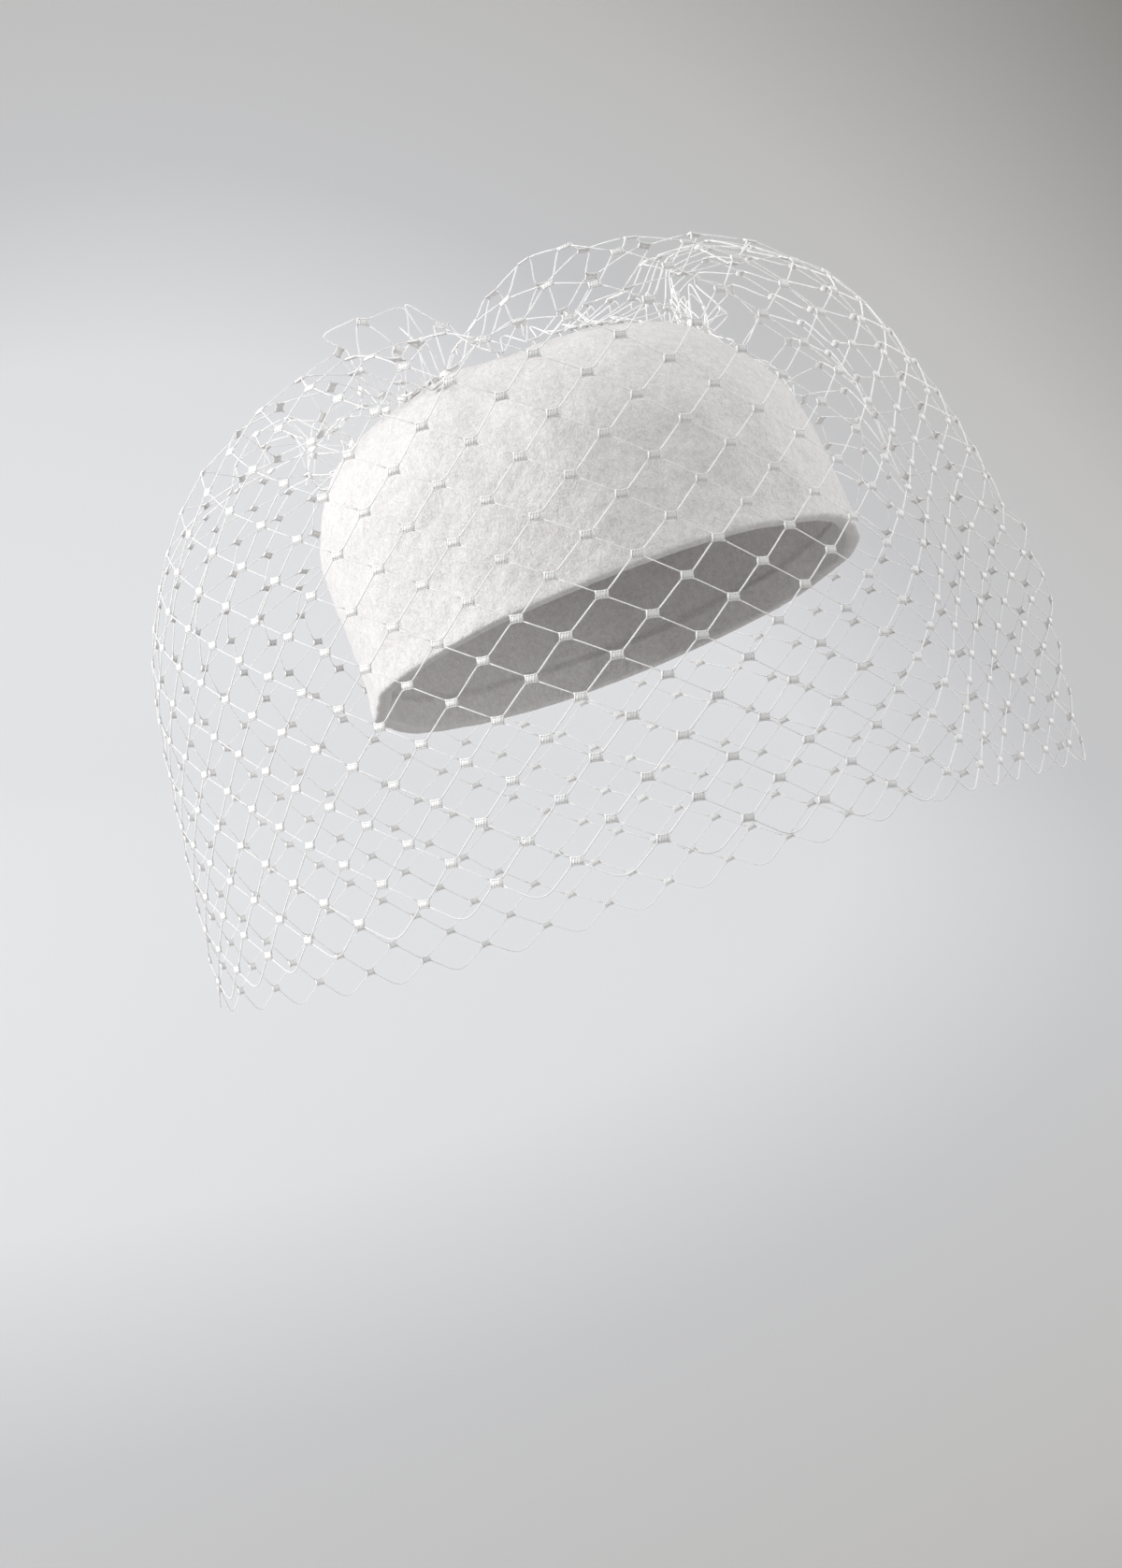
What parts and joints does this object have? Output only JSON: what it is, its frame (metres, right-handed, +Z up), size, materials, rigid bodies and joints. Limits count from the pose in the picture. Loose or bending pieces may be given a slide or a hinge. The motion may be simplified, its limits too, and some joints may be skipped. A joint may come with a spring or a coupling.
{
  "type": "pillbox hat with birdcage veil",
  "caption": "Soft-shouldered felt pillbox hat, worn tilted, with a diamond-mesh netting veil gathered on its top that falls round the face.",
  "frame": {"origin": "middle of the hat's rim, where a head goes in", "axes": "+Z up as worn, -Y to the wearer's front, +X to the wearer's left; the hat leans to the wearer's right and tips back"},
  "size_m": [0.338, 0.292, 0.2998],
  "materials": {
    "wool_felt": "off-white pressed wool felt, matt and slightly fuzzy",
    "veil_netting": "ivory stiffened diamond-mesh netting"
  },
  "bodies": {
    "root": {"felt_crown": "wool_felt", "netting_veil": "veil_netting"}
  },
  "joints": []
}
